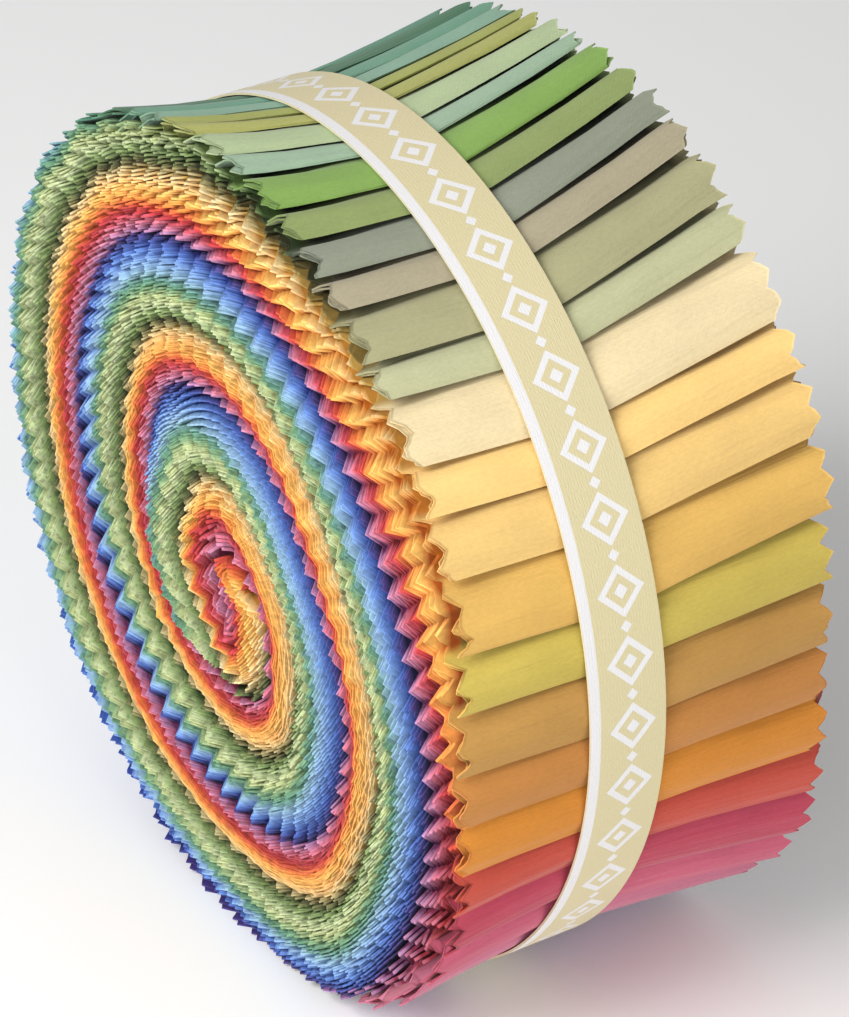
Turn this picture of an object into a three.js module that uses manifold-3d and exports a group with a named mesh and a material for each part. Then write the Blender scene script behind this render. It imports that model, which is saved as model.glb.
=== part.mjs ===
// A roll of forty quilting strips, standing on its rim.
//
// Forty pinked strips of plain-weave cotton are folded in half, stacked and wound
// up as one thick ribbon. Each strip ends a little before the one beneath it, so
// the rim of the roll shows one folded end of every strip, like shingles. A narrow
// woven band holds the roll and draws its waist in. The roll's axis runs along Y,
// its near face looks towards -Y, the floor is Z = 0, and sizes are in millimetres.
// Angles are in degrees from +X towards +Z, and the stack winds outwards clockwise
// as seen from the near face, which is the way the angles fall.

import * as THREE from 'three';
import Module from 'manifold-3d';

const STRIP_WIDTH = 63.5;
const LAYER = 0.285;

const RIM_RADIUS = 67.5;
const WAIST_RADIUS = 64.6;
const CENTRE_HEIGHT = 66.4;
const HEART_DROP = 1.7;

const BAND_WIDTH = 12.7;
const BAND_CENTRE = -5.8;
const BAND_THICKNESS = 1.0;
const BAND_LAP = 14;
const BAND_LAP_ANGLE = 200;
const BAND_SEGMENTS = 96;
const CLEARANCE = 0.3;

const FOLD_DEPTH = 2.2;
const FOOT_HALF_ANGLE = 16;
const PLAIN_STEP = 6;
const PLAIN_HEIGHT = 0.5;

// The strips from the inside of the stack to its outside, with the angle at which
// each one's folded end lies on the rim.
const STRIPS = [
  { cloth: 'lavender', end: -64 },
  { cloth: 'rose', end: -55 },
  { cloth: 'mauve', end: -46 },
  { cloth: 'pink', end: -37 },
  { cloth: 'crimson', end: -28.5 },
  { cloth: 'coral', end: -19.7 },
  { cloth: 'orange', end: -13.1 },
  { cloth: 'amber', end: -5.1 },
  { cloth: 'ochre', end: 2 },
  { cloth: 'chartreuse', end: 10.2 },
  { cloth: 'gold', end: 17.2 },
  { cloth: 'light_gold', end: 26.5 },
  { cloth: 'yellow', end: 34.3 },
  { cloth: 'cream', end: 40.3 },
  { cloth: 'sage', end: 49 },
  { cloth: 'khaki', end: 54.1 },
  { cloth: 'taupe', end: 61.4 },
  { cloth: 'grey_green', end: 66.5 },
  { cloth: 'olive', end: 72.2 },
  { cloth: 'bright_green', end: 77.5 },
  { cloth: 'mint', end: 84 },
  { cloth: 'pale_mint', end: 88 },
  { cloth: 'lime', end: 94 },
  { cloth: 'moss', end: 97.5 },
  { cloth: 'light_teal', end: 101 },
  { cloth: 'teal', end: 105.3 },
  { cloth: 'dark_teal', end: 110.3 },
  { cloth: 'sea_green', end: 118 },
  { cloth: 'jade', end: 128 },
  { cloth: 'aqua', end: 139 },
  { cloth: 'pale_blue', end: 150 },
  { cloth: 'sky', end: 161 },
  { cloth: 'light_blue', end: 172 },
  { cloth: 'soft_blue', end: 183 },
  { cloth: 'cornflower', end: 194 },
  { cloth: 'blue', end: 205 },
  { cloth: 'mid_blue', end: 216 },
  { cloth: 'royal', end: 227 },
  { cloth: 'navy', end: 238 },
  { cloth: 'violet_navy', end: 250 },
];

// One shingle: how far back from its own fold a point lies, and how much of the
// fold depth it stands above the dip beside the strip before.
const SHINGLE = [
  { back: 9.5, height: 0.0 },
  { back: 5.5, height: 0.42 },
  { back: 2.0, height: 1.0 },
  { back: 0.25, height: 0.72 },
];

// Sections across the width: the place along Y, the flare above the waist as a
// share of the full flare, and how open the folds stand there.
const SECTIONS = [
  { y: -31.75, flare: 1.0, open: 1.0 },
  { y: -26.5, flare: 0.85, open: 0.85 },
  { y: -20.5, flare: 0.5, open: 0.6 },
  { y: -15.0, flare: 0.15, open: 0.3 },
  { y: -12.6, flare: 0.0, open: 0.0 },
  { y: 1.0, flare: 0.0, open: 0.0 },
  { y: 4.5, flare: 0.12, open: 0.3 },
  { y: 11.5, flare: 0.35, open: 0.6 },
  { y: 19.0, flare: 0.62, open: 0.8 },
  { y: 26.0, flare: 0.86, open: 0.92 },
  { y: 31.75, flare: 1.0, open: 1.0 },
];

// The seam where one turn of the stack lies on the turn before, drawn in both
// faces. It grows by the stack's thickness each turn, and the unround heart of the
// roll shows through as a bulge that is the same in every turn.
const SEAM_DEPTH = 1.2;
const SEAM_HALF_WIDTH = 1.3;
const SEAM_FROM = 270;
const SEAM_TO = 960;
const SEAM_STEP = 5;
const SEAM_TAPER = 30;
const SEAM_BULGE = [
  { angle: -180, out: -6.7 },
  { angle: -126, out: -4.3 },
  { angle: -90, out: -2.5 },
  { angle: -60, out: -1.0 },
  { angle: -36, out: -3.6 },
  { angle: 0, out: -7.8 },
  { angle: 27, out: -9.8 },
  { angle: 54, out: -8.3 },
  { angle: 90, out: -5.0 },
  { angle: 117, out: -3.7 },
  { angle: 150, out: -5.5 },
  { angle: 180, out: -6.7 },
];

const COTTON = { color: 0xd9a441, roughness: 0.85, metalness: 0.0 };
const RIBBON = { color: 0xd3c69a, roughness: 0.7, metalness: 0.0 };

const radians = THREE.MathUtils.degToRad;
const TURN = 360;

const wasm = await Module();
wasm.setup();

// The smallest angle between two directions, from 0 to 180 degrees.
function angleBetween(a, b) {
  const apart = THREE.MathUtils.euclideanModulo(a - b, TURN);
  return Math.min(apart, TURN - apart);
}

// How strongly the roll's weight presses a point flat: one at the foot, none
// past the foot's half angle.
function footPress(angle) {
  const fromFoot = angleBetween(angle, -90);
  return 1 - THREE.MathUtils.smoothstep(fromFoot, 0.6 * FOOT_HALF_ANGLE, FOOT_HALF_ANGLE);
}

// A point of the roll's skin in the XZ plane, cut off level at the floor.
function skinPoint(angle, height, section) {
  const rim = WAIST_RADIUS + (RIM_RADIUS - WAIST_RADIUS) * section.flare;
  const dip = FOLD_DEPTH * section.open * (1 - height) * (1 - footPress(angle));
  const radius = rim - dip;
  return {
    x: radius * Math.cos(radians(angle)),
    z: Math.max(0, CENTRE_HEIGHT + radius * Math.sin(radians(angle))),
  };
}

// The angle and height of every skin point round the roll, going clockwise. Each
// strip is bare from the fold above it to its own fold. The outermost strip is
// also bare below the innermost strip's end, where the turn before shows.
function skinProfile() {
  const degreesPerMm = TURN / (2 * Math.PI * RIM_RADIUS);
  const profile = [];
  for (let k = STRIPS.length - 1; k >= 0; k -= 1) {
    const above = k + 1 < STRIPS.length ? STRIPS[k + 1].end : STRIPS[0].end + TURN;
    const bare = (above - STRIPS[k].end) / degreesPerMm;
    const longest = SHINGLE[0].back;
    for (let back = bare - 1; back > longest + PLAIN_STEP / 2; back -= PLAIN_STEP) {
      profile.push({ angle: STRIPS[k].end + back * degreesPerMm, height: PLAIN_HEIGHT });
    }
    const squeeze = Math.min(1, (0.97 * bare) / longest);
    for (const { back, height } of SHINGLE) {
      profile.push({ angle: STRIPS[k].end + back * squeeze * degreesPerMm, height });
    }
  }
  return profile;
}

function sectionRing(section) {
  return skinProfile().flatMap(({ angle, height }) => {
    const { x, z } = skinPoint(angle, height, section);
    return [x, section.y, z];
  });
}

function solid(points, triangles) {
  const mesh = new wasm.Mesh({
    numProp: 3,
    vertProperties: new Float32Array(points),
    triVerts: new Uint32Array(triangles),
  });
  return new wasm.Manifold(mesh);
}

// A closed solid from rings of equal length along Y, with a fan over each end.
function loft(rings) {
  const count = rings[0].length / 3;
  const points = rings.flat();
  const triangles = [];
  for (let r = 0; r + 1 < rings.length; r += 1) {
    for (let i = 0; i < count; i += 1) {
      const near = r * count + i;
      const nearNext = r * count + ((i + 1) % count);
      triangles.push(near, nearNext, near + count);
      triangles.push(nearNext, nearNext + count, near + count);
    }
  }
  const nearHub = points.length / 3;
  const farHub = nearHub + 1;
  points.push(0, rings[0][1], CENTRE_HEIGHT);
  points.push(0, rings[rings.length - 1][1], CENTRE_HEIGHT);
  const last = (rings.length - 1) * count;
  for (let i = 0; i < count; i += 1) {
    const next = (i + 1) % count;
    triangles.push(nearHub, next, i);
    triangles.push(farHub, last + i, last + next);
  }
  return solid(points, triangles);
}

const bulge = new THREE.CubicInterpolant(
  SEAM_BULGE.map((row) => row.angle),
  SEAM_BULGE.map((row) => row.out),
  1,
);

// The seam's distance from the roll's heart after it has wound through an angle.
function seamRadius(wound) {
  const angle = 180 - THREE.MathUtils.euclideanModulo(wound, TURN);
  const stack = 2 * LAYER * STRIPS.length;
  return (stack * wound) / TURN + bulge.evaluate(angle)[0];
}

// A four-sided bar that follows the seam on one face, with corners on the inner
// edge, at the bottom of the groove, on the outer edge and above the face.
function seamBar(faceY, inward) {
  const points = [];
  const triangles = [];
  const steps = (SEAM_TO - SEAM_FROM) / SEAM_STEP;
  for (let step = 0; step <= steps; step += 1) {
    const wound = SEAM_FROM + SEAM_STEP * step;
    const angle = radians(180 - wound);
    const radius = seamRadius(wound);
    const fromEnd = Math.min(wound - SEAM_FROM, SEAM_TO - wound);
    const depth = SEAM_DEPTH * (0.2 + 0.8 * THREE.MathUtils.smoothstep(fromEnd, 0, SEAM_TAPER));
    const corners = [
      [radius - SEAM_HALF_WIDTH, 0],
      [radius, depth * inward],
      [radius + SEAM_HALF_WIDTH, 0],
      [radius, -SEAM_DEPTH * inward],
    ];
    for (const [r, rise] of corners) {
      const z = CENTRE_HEIGHT - HEART_DROP + r * Math.sin(angle);
      points.push(r * Math.cos(angle), faceY + rise, z);
    }
  }
  const quad = (a, b, c, d) => {
    const order = inward > 0 ? [a, b, c, a, c, d] : [a, c, b, a, d, c];
    triangles.push(...order);
  };
  for (let step = 0; step < steps; step += 1) {
    for (let corner = 0; corner < 4; corner += 1) {
      const here = 4 * step + corner;
      const beside = 4 * step + ((corner + 1) % 4);
      quad(here, beside, beside + 4, here + 4);
    }
  }
  const end = 4 * steps;
  quad(3, 2, 1, 0);
  quad(end, end + 1, end + 2, end + 3);
  return solid(points, triangles);
}

function woundRoll() {
  const body = loft(SECTIONS.map(sectionRing));
  const nearSeam = seamBar(-STRIP_WIDTH / 2, 1);
  const farSeam = seamBar(STRIP_WIDTH / 2, -1);
  return body.subtract(nearSeam).subtract(farSeam);
}

// The band is a flat ribbon bent round the waist, its end lapped over its start
// and sewn down, so it is thicker for the length of the lap.
function ribbonBand() {
  const inner = WAIST_RADIUS + CLEARANCE;
  const halfLap = THREE.MathUtils.radToDeg(BAND_LAP / inner) / 2;
  const half = BAND_WIDTH / 2;
  const points = [];
  const triangles = [];
  for (let i = 0; i < BAND_SEGMENTS; i += 1) {
    const angle = (TURN * i) / BAND_SEGMENTS;
    const lapped = angleBetween(angle, BAND_LAP_ANGLE) < halfLap ? BAND_THICKNESS / 2 : 0;
    const outer = inner + BAND_THICKNESS + lapped;
    for (const [radius, y] of [[inner, -half], [inner, half], [outer, half], [outer, -half]]) {
      const x = radius * Math.cos(radians(angle));
      points.push(x, BAND_CENTRE + y, CENTRE_HEIGHT + radius * Math.sin(radians(angle)));
    }
    for (let corner = 0; corner < 4; corner += 1) {
      const beside = (corner + 1) % 4;
      const next = 4 * ((i + 1) % BAND_SEGMENTS);
      triangles.push(4 * i + corner, next + beside, 4 * i + beside);
      triangles.push(4 * i + corner, next + corner, next + beside);
    }
  }
  return solid(points, triangles);
}

function namedMesh(name, body, look) {
  const { vertProperties, triVerts } = body.getMesh();
  const geometry = new THREE.BufferGeometry();
  geometry.setAttribute('position', new THREE.BufferAttribute(vertProperties, 3));
  geometry.setIndex(new THREE.BufferAttribute(triVerts, 1));
  geometry.computeVertexNormals();
  const mesh = new THREE.Mesh(geometry, new THREE.MeshStandardMaterial(look));
  mesh.name = name;
  return mesh;
}

const roll = new THREE.Group();
roll.add(namedMesh('strip_roll', woundRoll(), COTTON));
roll.add(namedMesh('waist_band', ribbonBand(), RIBBON));

export default roll;
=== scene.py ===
# %% [markdown]
# # A roll of quilting strips
# Forty pinked strips of cotton are folded in half, stacked, and wound up as one thick
# ribbon that stands on its rim. A narrow woven band holds it. The solid model gives the
# places and sizes. Here every strip becomes a real folded sheet of cloth.

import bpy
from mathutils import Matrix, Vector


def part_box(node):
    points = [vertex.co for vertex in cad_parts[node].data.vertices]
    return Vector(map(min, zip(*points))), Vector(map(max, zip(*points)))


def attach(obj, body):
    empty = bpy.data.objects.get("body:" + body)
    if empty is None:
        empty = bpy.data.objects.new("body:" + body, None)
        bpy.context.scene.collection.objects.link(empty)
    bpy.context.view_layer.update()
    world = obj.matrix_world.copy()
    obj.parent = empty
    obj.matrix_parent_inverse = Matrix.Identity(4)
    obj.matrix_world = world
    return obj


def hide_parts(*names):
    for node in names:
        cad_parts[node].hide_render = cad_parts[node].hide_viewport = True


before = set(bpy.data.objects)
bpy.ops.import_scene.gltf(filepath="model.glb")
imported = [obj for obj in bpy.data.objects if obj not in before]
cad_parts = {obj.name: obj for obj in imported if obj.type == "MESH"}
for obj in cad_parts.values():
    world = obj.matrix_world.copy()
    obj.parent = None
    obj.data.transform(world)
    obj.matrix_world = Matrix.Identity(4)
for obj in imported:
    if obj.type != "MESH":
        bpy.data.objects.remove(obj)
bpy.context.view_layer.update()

# %% Libraries and units
import math

import bpy
import numpy as np
from mathutils import Vector

MM = 0.001
RADIANS = math.pi / 180
print(f"a millimetre is {MM} m, and a degree is {RADIANS:.5f} radians")

# %% [markdown]
# ## Smooth curves
# Wound cloth has hardly a straight line in it. Its sizes change little by little, so they
# stand in short tables, and a smooth curve through the rows gives the places between.
# Straight lines from row to row would show as corners on the skin of the roll.

# %% Smooth curves
def smoothstep(x):
    """Rises from 0 to 1 as x goes from 0 to 1, with level ends: 3 x^2 - 2 x^3."""
    x = np.clip(x, 0.0, 1.0)
    return x * x * (3.0 - 2.0 * x)


def through(x, knots, values, period=None):
    """A smooth curve through the rows of a table. Each knot's slope is the mean slope of
    its two neighbours, and a cubic joins one knot to the next. Outside the table the end
    values hold, unless a period closes it into a ring."""
    knots, values = np.asarray(knots, float), np.asarray(values, float)
    if period:
        order = np.argsort(knots)
        knots, values = knots[order], values[order]
        knots = np.concatenate([knots[-2:] - period, knots, knots[:2] + period])
        values = np.concatenate([values[-2:], values, values[:2]])
        x = (np.asarray(x, float) - knots[2]) % period + knots[2]
    slopes = np.gradient(values, knots)
    x = np.clip(x, knots[0], knots[-1])
    i = np.clip(np.searchsorted(knots, x, side="right") - 1, 0, len(knots) - 2)
    gap = knots[i + 1] - knots[i]
    t = (x - knots[i]) / gap
    rise = smoothstep(t)
    here = values[i] * (1 - rise) + values[i + 1] * rise
    bend = slopes[i] * t * (1 - t) ** 2 - slopes[i + 1] * t * t * (1 - t)
    return here + gap * bend


print("smoothstep at 0, a quarter and a half:", smoothstep(np.array([0, 0.25, 0.5])))

# %% [markdown]
# ## Sizes from the frame
# The width, the radius of the rims and the floor come from the solid roll, and the place
# of the band comes from the solid band. The heart of the spiral lies a little below the
# middle of the drum, because the roll sags as it stands.

# %% Driving sizes, in millimetres
roll_low, roll_high = (np.array(corner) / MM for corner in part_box("strip_roll"))
band_low, band_high = (np.array(corner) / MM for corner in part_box("waist_band"))
WIDTH = roll_high[1] - roll_low[1]
HALF = WIDTH / 2
RIM = (roll_high[0] - roll_low[0]) / 2
SAG = 1.7
DRUM_HEIGHT = (band_low[2] + band_high[2]) / 2
HEART_HEIGHT = DRUM_HEIGHT - SAG
BAND_NEAR, BAND_FAR = band_low[1], band_high[1]
CLOTH = 0.265
print(f"roll {2 * RIM:.1f} mm across, {WIDTH:.1f} mm wide, heart {HEART_HEIGHT:.1f} mm up")
print(f"band from y {BAND_NEAR:.1f} to {BAND_FAR:.1f} mm")

# %% [markdown]
# ## The forty strips
# One row for each strip, from the inside of the stack to its outside. `wound` angles say
# how far the stack has turned: 0 is straight down, and they grow clockwise as seen from
# the near face. `start` is where the strip's two cut ends lie in the heart. `end` is the
# place of its fold on the rim, in degrees from +X towards +Z. `near` and `far` are how
# many degrees that fold line has crept by the time it reaches each rim. `slide` is how
# many millimetres the strip has slipped towards the far face, and `lift` is how far its
# fold stands off the strip beneath at the rims, counted in strips.

# %% The table of strips
COLUMNS = ("cloth", "red", "green", "blue", "start", "end", "near", "far", "slide", "lift")
STRIP_ROWS = [
    ("lavender", 150, 105, 165, 425, -64.0, -3.0, -6.0, 0.4, 0.4),
    ("rose", 205, 120, 140, -88, -55.0, -3.0, -6.0, 0.8, 0.4),
    ("mauve", 200, 115, 140, -81, -46.0, -3.0, -5.0, 1.0, 0.4),
    ("pink", 200, 95, 120, -74, -37.0, -2.5, -5.0, 1.2, 0.6),
    ("crimson", 185, 70, 90, -67, -28.5, -2.0, -4.5, 1.2, 0.6),
    ("coral", 195, 80, 65, -152, -19.7, -1.5, -3.5, 0.4, 0.6),
    ("orange", 210, 135, 50, -148, -13.1, -0.5, -2.0, -0.6, 0.8),
    ("amber", 192, 130, 65, -144, -5.1, -0.5, -1.0, -1.3, 0.8),
    ("ochre", 188, 142, 74, -140, 2.0, 0.0, 0.0, -0.8, 0.8),
    ("chartreuse", 200, 178, 85, -136, 10.2, 0.0, 0.3, 0.0, 1.0),
    ("gold", 222, 178, 95, -132, 17.2, 0.5, 2.5, 1.2, 1.2),
    ("light_gold", 235, 196, 122, -128, 26.5, 0.5, 3.0, 1.0, 1.4),
    ("yellow", 248, 208, 132, -124, 34.3, 0.8, 3.5, 1.2, 1.6),
    ("cream", 235, 215, 170, -62, 40.3, 1.0, 4.0, 1.3, 1.8),
    ("sage", 190, 190, 150, -57, 49.0, 1.0, 5.5, 1.2, 2.4),
    ("khaki", 172, 168, 128, -52, 54.1, 0.8, 6.5, 1.2, 2.8),
    ("taupe", 172, 162, 135, -47, 61.4, 0.8, 7.0, 1.1, 2.8),
    ("grey_green", 145, 150, 132, -42, 66.5, 1.0, 7.5, 1.2, 3.0),
    ("olive", 145, 160, 100, 6, 72.2, 1.2, 7.5, 1.2, 3.0),
    ("bright_green", 135, 170, 88, 8, 77.5, 1.5, 7.5, 1.1, 2.8),
    ("mint", 160, 185, 158, 11, 84.0, 2.5, 7.5, 1.1, 2.4),
    ("pale_mint", 180, 196, 152, 13, 88.0, 3.5, 7.0, 1.0, 2.0),
    ("lime", 175, 176, 104, 16, 94.0, 4.5, 6.5, 0.9, 1.6),
    ("moss", 165, 170, 95, 18, 97.5, 4.5, 6.5, 0.9, 1.6),
    ("light_teal", 140, 175, 152, 20, 101.0, 4.5, 6.0, 0.8, 1.6),
    ("teal", 115, 160, 135, 23, 105.3, 4.0, 6.0, 0.8, 1.6),
    ("dark_teal", 75, 120, 90, 25, 110.3, 4.0, 5.5, 0.7, 1.6),
    ("sea_green", 95, 145, 120, 28, 118.0, 3.0, 5.0, 0.6, 1.6),
    ("jade", 120, 165, 150, 30, 128.0, 2.0, 4.0, 0.5, 1.2),
    ("aqua", 125, 170, 180, 84, 133.0, 1.0, 3.0, 0.4, 0.8),
    ("pale_blue", 140, 180, 215, 88, 146.0, 1.0, 2.0, 0.3, 0.4),
    ("sky", 125, 165, 215, 91, 160.0, 1.0, 1.0, 0.2, 0.4),
    ("light_blue", 115, 155, 212, 95, 174.0, 1.0, 1.0, 0.1, 0.4),
    ("soft_blue", 105, 145, 208, 98, 188.0, 0.0, 0.0, 0.0, 0.4),
    ("cornflower", 95, 132, 200, 102, 202.0, 0.0, 0.0, 0.0, 0.4),
    ("blue", 80, 115, 190, 106, 215.0, -1.0, -1.0, 0.0, 0.4),
    ("mid_blue", 65, 95, 175, 109, 227.0, -1.0, -1.0, 0.0, 0.4),
    ("royal", 55, 75, 155, 113, 238.0, -1.0, -1.0, 0.0, 0.4),
    ("navy", 45, 50, 125, 116, 248.0, -1.0, -2.0, 0.0, 0.4),
    ("violet_navy", 60, 45, 115, 120, 257.0, -1.0, -2.0, 0.0, 0.4),
]
STRIPS = {name: np.array([row[i] for row in STRIP_ROWS]) for i, name in enumerate(COLUMNS)}
COUNT = len(STRIP_ROWS)
print(f"{COUNT} strips, from {STRIP_ROWS[0][0]} inside to {STRIP_ROWS[-1][0]} outside")

# %% Folds and groups of strips
DOWN = 270.0
TWO_TURNS = 720
FOLD_AT = DOWN - STRIPS["end"] + TWO_TURNS
EVERY = np.arange(COUNT)


def strips_from(first, last):
    """True for the strips from the first named one out to the last, False for the rest."""
    names = STRIPS["cloth"].tolist()
    return (EVERY >= names.index(first)) & (EVERY <= names.index(last))


PINKS = strips_from("lavender", "crimson")
GOLDS = strips_from("orange", "cream")
GREENS = strips_from("khaki", "jade")
BLUES = strips_from("aqua", "violet_navy")
print(f"folds lie at wound angles from {FOLD_AT.min():.0f} to {FOLD_AT.max():.0f} degrees")

# %% [markdown]
# ## The wound form
# The inner edge of the stack is a spiral. It grows by one stack in each turn, and the
# unround heart of the roll adds the same bulge in every turn. In the heart itself the
# stack doubles back in a hairpin, so a table of its own gives the spiral there.

# %% Tables of the wound form
STACK = 22.8
BULGE = [  # degrees from +X towards +Z, and the spiral's lead in millimetres
    (-162, -4.2), (-126, -2.4), (-90, -1.3), (-72, -0.6), (-54, -1.0), (-36, -4.2),
    (-20, -6.3), (0, -9.4), (18, -11.5), (36, -11.8), (54, -10.2), (72, -8.1),
    (90, -6.2), (108, -4.6), (126, -3.6), (150, -4.7), (180, -5.1),
]
HEART = [  # wound angle, then x and z of the stack's inner edge and of its outer edge
    (-160, 7.2, -0.6, 7.8, -2.4), (-145, 4.8, 1.4, 6.4, -2.4), (-128, 1.4, 2.0, 5.4, -2.4),
    (-110, -2.0, 0.9, 5.4, -2.6), (-90, -3.2, -1.7, 7.0, -3.0), (-65, -2.6, -4.5, 10.3, -4.9),
    (-40, -1.1, -7.1, 11.3, -13.5), (-20, -0.2, -8.8, 7.2, -19.9), (-5, -0.2, -9.4, 1.9, -21.8),
    (10, -1.0, -9.0, -3.9, -21.9), (25, -2.2, -7.2, -9.4, -20.2), (45, -3.7, -4.7, -16.0, -16.0),
    (70, -4.1, -1.8, -21.8, -8.0), (90, -3.8, 0.0, -23.4, 0.0), (135, -2.1, 2.1, -19.6, 19.6),
]
CORE = [  # wound angle, and distance of the stack's inner edge from the heart
    (90, 3.8), (135, 2.9), (180, 2.6), (225, 3.4), (270, 7.5), (288, 10.4), (306, 13.7),
    (324, 18.8), (345, 21.9), (370, 22.2), (400, 22.6), (430, 23.2),
]
OUTLINE = [  # angle, and how far near rim, waist and far rim stand beyond the plain rim
    (-90, -1.9, -3.4, -1.5), (-75, -1.0, -1.9, 0.0), (-65, 0.1, -0.4, 1.2),
    (-53, 1.9, 0.0, 2.2), (-30, 1.7, 0.1, 2.2), (-15, 0.4, 0.2, 0.2), (0, -0.5, 0.3, -0.6),
    (18, -0.5, 0.3, -0.7), (30, -0.3, 0.3, 1.2), (45, -0.1, 0.3, 1.7), (60, 0.2, 0.2, 2.4),
    (70, 0.8, 0.1, 3.1), (82, 1.8, 0.0, 2.9), (100, 2.7, -0.2, 2.6), (130, 2.7, -1.2, 3.2),
    (155, 1.0, -1.8, 1.5), (180, -0.8, -1.9, 0.0), (-150, -0.8, -2.1, -0.4),
    (-120, -1.6, -2.8, -1.2),
]
print(f"the stack is {STACK} mm thick, and the hairpin's table has {len(HEART)} rows")

# %% The spiral
CORE_END = 340
CORE_EASE = 80


def direction(wound):
    """Degrees from +X towards +Z of a wound angle: straight down, less the angle."""
    return DOWN - wound


def spiral(wound):
    """Distance of the stack's inner edge from the heart: the stack times the turns made
    plus the bulge, or the core's own table, eased from one to the other."""
    ring = STACK * wound / 360 + through(direction(wound), *zip(*BULGE), period=360)
    core = through(wound, *zip(*CORE))
    ease = smoothstep((wound - CORE_END) / CORE_EASE)
    return core * (1 - ease) + ring * ease


print(f"after two turns the stack's inner edge is {spiral(TWO_TURNS):.1f} mm from the heart")

# %% The outline
FLARE = 1.3  # power of the way to the rim
PAST_RIM = 1.1  # teeth may reach a tenth of the way past the plain rim
LEVEL = 0.2  # a ray whose fall has a smaller sine than this misses the floor
FAR_OFF = 1000.0


def towards_rims(y, most=1.0):
    """How far y lies towards the near and the far rim: 0 at the band and 1 at the rim."""
    to_near = np.clip((BAND_NEAR - y) / (BAND_NEAR + HALF), 0, most)
    to_far = np.clip((y - BAND_FAR) / (HALF - BAND_FAR), 0, most)
    return to_near, to_far


def outline(angle, y):
    """Radius of the skin: the waist's radius plus, past the band, the rim's extra flare,
    which grows as a power of the way to the rim. It stops at the floor, which a ray from
    the heart meets at the heart's height over the sine of the ray's fall."""
    knots, *rings = zip(*OUTLINE)
    near, waist, far = (RIM + through(angle, knots, ring, period=360) for ring in rings)
    to_near, to_far = towards_rims(y, PAST_RIM)
    radius = waist + (near - waist) * to_near ** FLARE + (far - waist) * to_far ** FLARE
    drop = np.sin(angle * RADIANS)
    floor = np.where(drop < -LEVEL, HEART_HEIGHT / np.maximum(-drop, LEVEL), FAR_OFF)
    return np.minimum(radius, floor)


def near_skin(wound):
    """Radius of the skin on the near face, at a wound angle."""
    return outline(direction(wound), np.full_like(wound, -HALF))


print(f"the roll rises {outline(90, 0.0):.1f} mm over its heart at the waist")

# %% [markdown]
# ## How the strips share the stack
# At each place the strips that have begun and not yet ended share the room between the
# stack's inner edge and the next turn. A strip's share eases in before its cut ends. It
# swells or is pressed at its fold. Past the fold it dies away, fast at first, as a power
# of the way still to go, so that the strip beneath rises in a steep bank and then
# rounds over to the skin. That gives the roll its shingles. Towards the rims a fold
# also lifts off the strip beneath, and the air under it takes a share of its own.

# %% How loosely each strip is wound
LOOSE = 1.15
HEART_LOOSE = 2.3
HEART_EDGE = 150
HEART_EASE = 180
GOLD_LOOSE = [  # wound angle, and how loosely the golden strips are wound there
    (360, 1.0), (420, 1.25), (470, 1.15), (530, 1.0), (700, 1.0), (790, 1.3), (880, 1.0),
]
BLUE_LOOSE = [  # the same for the blue strips
    (360, 1.0), (420, 1.5), (470, 1.35), (530, 1.0), (660, 1.0), (740, 1.15),
]


def looseness(wound):
    """How loosely each strip is wound: 1 is snug. The pinks are a little loose, and in the
    heart of the roll they are much looser. The golden and the blue ones are looser on the
    left of each turn."""
    heart = 1 - smoothstep((wound - HEART_EDGE) / HEART_EASE)
    pink = PINKS * (LOOSE - 1 + (HEART_LOOSE - LOOSE) * heart)
    golden = GOLDS * (through(wound, *zip(*GOLD_LOOSE)) - 1)
    blue = BLUES * (through(wound, *zip(*BLUE_LOOSE)) - 1)
    return 1 + pink + golden + blue


print(f"in the heart the loosest strip takes {looseness(0).max():.2f} times its room")

# %% Folds on the skin
def fold_angle(strip, y):
    """Wound angle of a strip's fold at y. The fold creeps away from its place at the
    band by its near or far degrees, evenly with the distance from the band."""
    to_near, to_far = towards_rims(y)
    return FOLD_AT[strip] - STRIPS["near"][strip] * to_near - STRIPS["far"][strip] * to_far


# Millimetres of the rim from each strip's fold on to the fold of the strip beneath it.
# The strip beneath lies bare there. The innermost has none, and takes the next one's.
EXPOSED = np.empty(COUNT)
EXPOSED[1:] = (FOLD_AT[:-1] - FOLD_AT[1:]) * RADIANS * RIM
EXPOSED[0] = EXPOSED[1]
print(f"neighbouring folds lie {EXPOSED.min():.1f} to {EXPOSED.max():.1f} mm apart on the rim")

# %% Shares of the stack
START_EASE = 10.0  # degrees before the cut ends over which a share eases in
FOLD_EASE = 8.0  # millimetres before the fold over which the share changes
AIR_REACH = 9.0  # and over which the fold lifts off
RISE = 0.85  # part of the way to the fold beneath over which the share dies away
BANK = 4.5  # power with which it does
PRESSED = 0.8  # share of a strip at its fold, under the band
OPEN = 2.2  # the same towards the rims
AIR_AT_BAND = 0.3  # part of the lift that is left under the band
NEAR_SPREAD = 17.0  # millimetres from the band over which the folds open
FAR_SPREAD = 24.0


def from_band(y):
    """Rises from 0 under the band to 1 some way towards either rim."""
    near = smoothstep((BAND_NEAR - y) / NEAR_SPREAD)
    far = smoothstep((y - BAND_FAR) / FAR_SPREAD)
    return np.maximum(near, far)


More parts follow.
